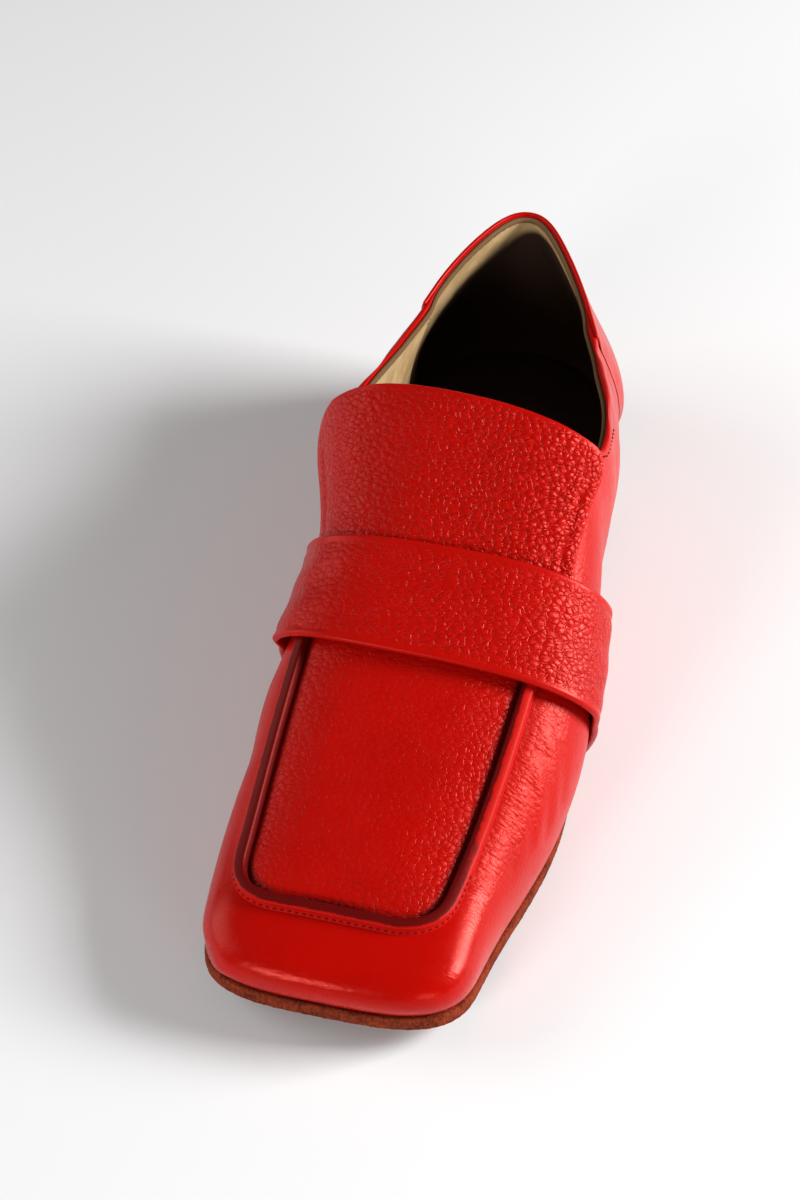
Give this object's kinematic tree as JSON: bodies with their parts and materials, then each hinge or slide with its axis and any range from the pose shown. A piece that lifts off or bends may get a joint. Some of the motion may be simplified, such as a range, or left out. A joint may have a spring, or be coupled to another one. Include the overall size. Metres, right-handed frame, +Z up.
{
  "type": "loafer",
  "caption": "Red leather loafer with a square toe, raised apron seam, tall tongue under a wide instep strap, thin leather sole and low heel. Left shoe, open at the collar.",
  "frame": {"origin": "middle of the bounding box in plan, on the floor that the shoe stands on", "axes": "+Z up, -Y towards the toe, +X towards the outer side of the foot"},
  "size_m": [0.0894, 0.2626, 0.0905],
  "materials": {
    "upper_leather": "pebbled red leather with a soft gloss, smoother at the toe",
    "painted_edge": "cut leather edge with glossy dark red paint",
    "sole_leather": "brown leather with a rough, open edge",
    "heel_stack": "plain dark brown leather block",
    "lining_leather": "matt tan lining leather"
  },
  "bodies": {
    "root": {"outsole": "sole_leather", "heel": "heel_stack", "insole": "lining_leather", "upper": "upper_leather", "heel_counter": "upper_leather", "apron_seam": "painted_edge", "tongue": "upper_leather", "strap": "upper_leather"}
  },
  "joints": []
}
